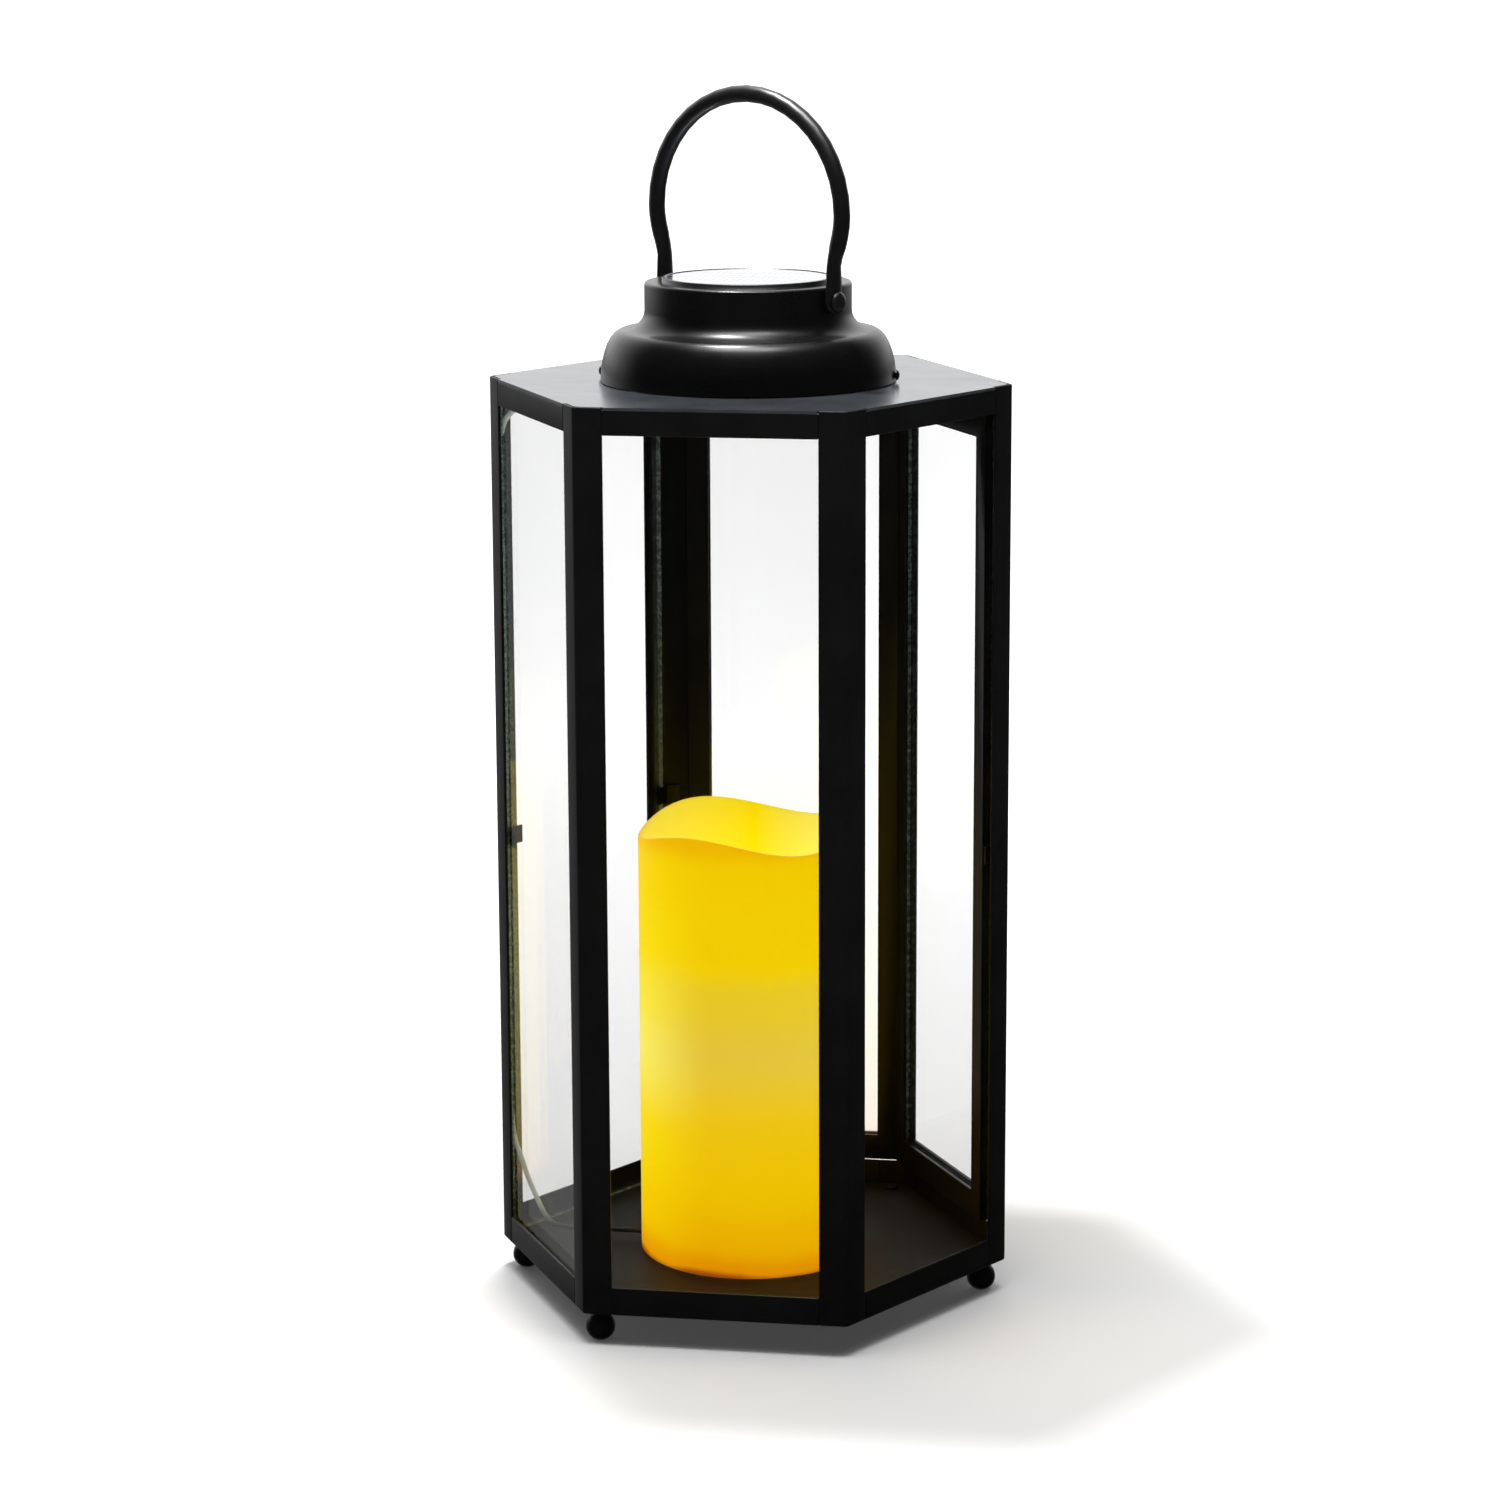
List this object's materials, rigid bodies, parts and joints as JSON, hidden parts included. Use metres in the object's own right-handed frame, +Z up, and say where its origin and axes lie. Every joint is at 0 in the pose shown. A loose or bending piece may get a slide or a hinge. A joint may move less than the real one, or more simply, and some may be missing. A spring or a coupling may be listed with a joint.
{
  "type": "solar lantern",
  "caption": "Hexagonal glazed metal lantern with an electric candle inside, a folding two-sided door, ball feet, and a domed cap with a solar panel and a bail handle.",
  "frame": {"origin": "centre of the footprint, on the plane the feet stand on", "axes": "+Z up along the lantern's axis; +X through a corner of the hexagon; -Y is the front pane"},
  "size_m": [0.1764, 0.1532, 0.4112],
  "materials": {
    "black_metal": "satin black powder coat",
    "steel": "plain zinc",
    "glass": "clear",
    "solar": "dark blue cells under clear resin",
    "candle": "amber wax look, lit from inside",
    "white_plastic": "ivory",
    "black_plastic": "matt",
    "battery": "green sleeve",
    "board": "green circuit board",
    "led": "warm white lens",
    "lead": "grey sleeve",
    "rubber": "black"
  },
  "bodies": {
    "lantern": {"bail_rivet_left": "black_metal", "bail_rivet_right": "black_metal", "ball_foot_back_right": "black_metal", "ball_foot_front_left": "black_metal", "ball_foot_left": "black_metal", "ball_foot_right": "black_metal", "battery": "battery", "battery_cover": "white_plastic", "bottom_rail_back": "black_metal", "bottom_rail_front": "black_metal", "bottom_rail_left_back": "black_metal", "bottom_rail_left_front": "black_metal", "bottom_rail_right_back": "black_metal", "bottom_rail_right_front": "black_metal", "candle_base": "white_plastic", "candle_shell": "candle", "corner_angle_lower": "black_metal", "corner_angle_upper": "black_metal", "corner_post_back_left": "black_metal", "corner_post_front_left": "black_metal", "corner_post_front_right": "black_metal", "corner_post_left": "black_metal", "corner_post_right": "black_metal", "cover_screw": "steel", "dome_cap": "black_metal", "dome_screw_left": "steel", "dome_screw_right": "steel", "door_hinge_lower": "black_metal", "door_hinge_upper": "black_metal", "floor_plate": "black_metal", "glass_clip_back_left": "steel", "glass_clip_front_left": "steel", "glass_clip_front_right": "steel", "glass_clip_left": "steel", "glass_clip_right": "steel", "glass_pane_front": "glass", "glass_pane_left_back": "glass", "glass_pane_left_front": "glass", "glass_pane_right_front": "glass", "lead": "lead", "lead_grommet": "rubber", "led": "led", "led_board": "board", "panel_back": "black_plastic", "panel_bezel": "black_metal", "solar_cell": "solar", "top_plate": "black_metal", "top_rail_back": "black_metal", "top_rail_front": "black_metal", "top_rail_left_back": "black_metal", "top_rail_left_front": "black_metal", "top_rail_right_back": "black_metal", "top_rail_right_front": "black_metal"},
    "door": {"door_frame": "black_metal", "door_knob": "black_metal", "glass_pane_back": "glass", "glass_pane_right_back": "glass"},
    "bail": {"bail_handle": "black_metal"},
    "switch": {"switch_knob": "black_plastic"}
  },
  "joints": [
    {"name": "bail_hinge", "type": "hinge", "parent": "lantern", "child": "bail", "pos_m": [0, 0, 0.34215], "axis": [0.8572, -0.515, 0], "range_deg": [-98, 98]},
    {"name": "door_hinge", "type": "hinge", "parent": "lantern", "child": "door", "pos_m": [-0.03145, 0.07384, 0.16235], "axis": [0, 0, 1], "range_deg": [0, 100]},
    {"name": "power_switch", "type": "slide", "parent": "lantern", "child": "switch", "axis": [1, 0, 0], "range_m": [0, 0.003]}
  ]
}
